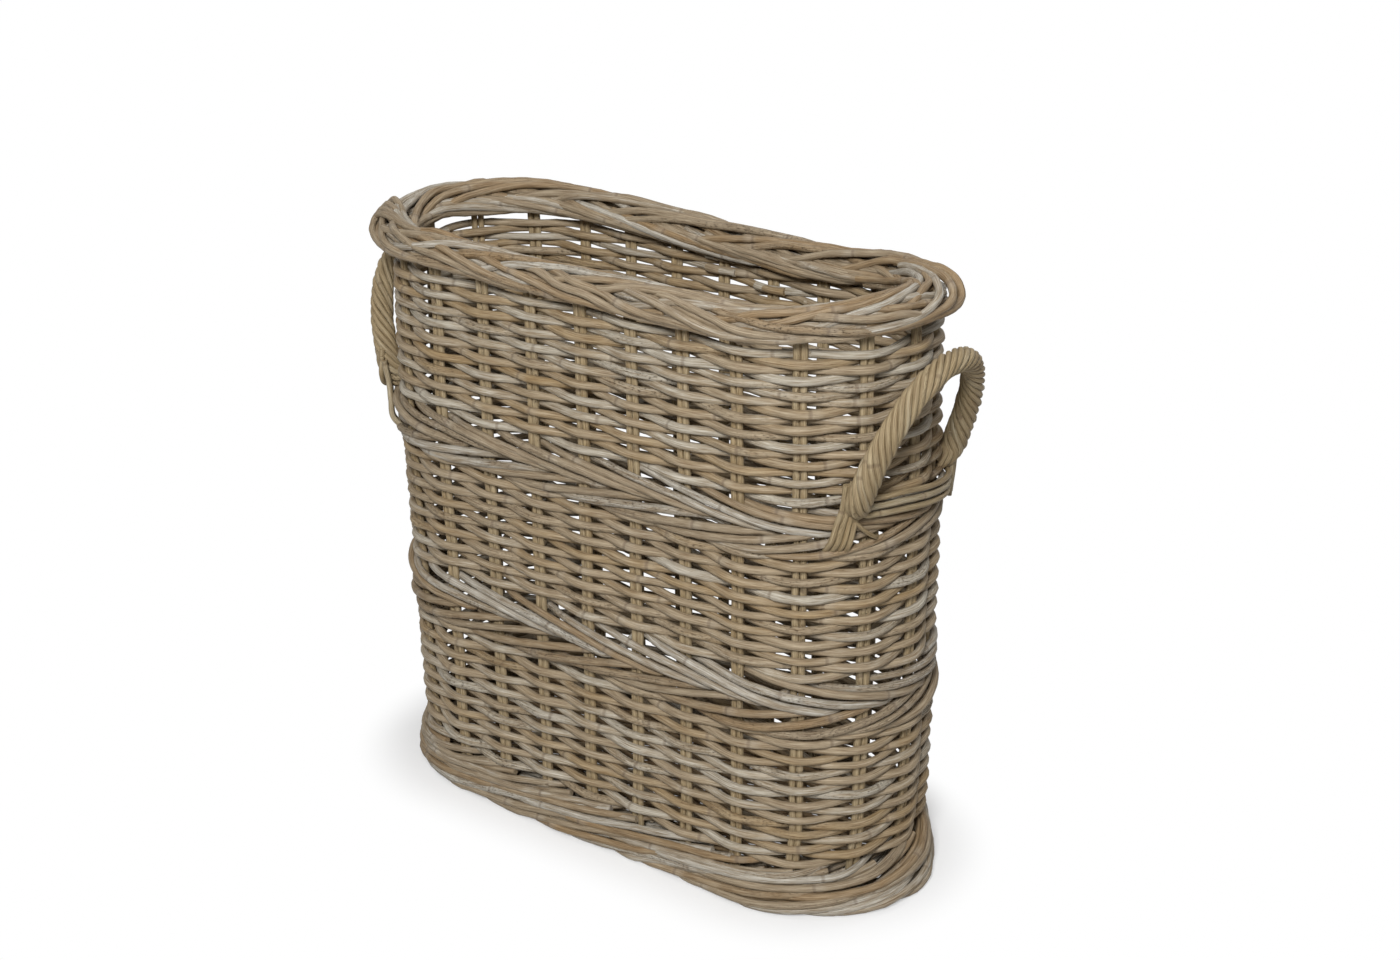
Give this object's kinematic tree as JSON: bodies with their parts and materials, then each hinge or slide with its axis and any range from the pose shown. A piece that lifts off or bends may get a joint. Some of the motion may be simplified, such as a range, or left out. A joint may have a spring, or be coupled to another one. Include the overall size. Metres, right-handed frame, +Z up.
{
  "type": "newspaper basket",
  "caption": "Tall narrow oval basket of grey rattan for newspapers, woven round paired stakes, with rolled borders, bands of waling and a twisted rattan handle at each end.",
  "frame": {"origin": "on the ground under the middle of the basket", "axes": "+X along the oval towards the right-hand handle, +Y from the front to the back across the narrow way, +Z up"},
  "size_m": [0.533, 0.224, 0.48],
  "materials": {
    "siding_cane": "matt weathered grey rattan",
    "stake_cane": "matt tan rattan",
    "border_cane": "matt weathered grey and honey rattan",
    "handle_cane": "matt split rattan",
    "base_cane": "matt dark rattan"
  },
  "bodies": {
    "root": {"base_weave": "base_cane", "base_stick_1": "base_cane", "base_stick_2": "base_cane", "base_stick_3": "base_cane", "base_stick_4": "base_cane", "base_stick_5": "base_cane", "base_stick_6": "base_cane", "base_stick_7": "base_cane", "foot_border": "border_cane", "stake_pair_01": "stake_cane", "stake_pair_02": "stake_cane", "stake_pair_03": "stake_cane", "stake_pair_04": "stake_cane", "stake_pair_05": "stake_cane", "stake_pair_06": "stake_cane", "stake_pair_07": "stake_cane", "stake_pair_08": "stake_cane", "stake_pair_09": "stake_cane", "stake_pair_10": "stake_cane", "stake_pair_11": "stake_cane", "stake_pair_12": "stake_cane", "stake_pair_13": "stake_cane", "stake_pair_14": "stake_cane", "stake_pair_15": "stake_cane", "stake_pair_16": "stake_cane", "stake_pair_17": "stake_cane", "stake_pair_18": "stake_cane", "stake_pair_19": "stake_cane", "stake_pair_20": "stake_cane", "stake_pair_21": "stake_cane", "stake_pair_22": "stake_cane", "stake_pair_23": "stake_cane", "stake_pair_24": "stake_cane", "lower_siding": "siding_cane", "lower_wale": "siding_cane", "middle_siding": "siding_cane", "upper_wale": "siding_cane", "upper_siding": "siding_cane", "top_border": "border_cane", "right_handle_core": "stake_cane", "right_handle_rope": "handle_cane", "left_handle_core": "stake_cane", "left_handle_rope": "handle_cane"}
  },
  "joints": []
}
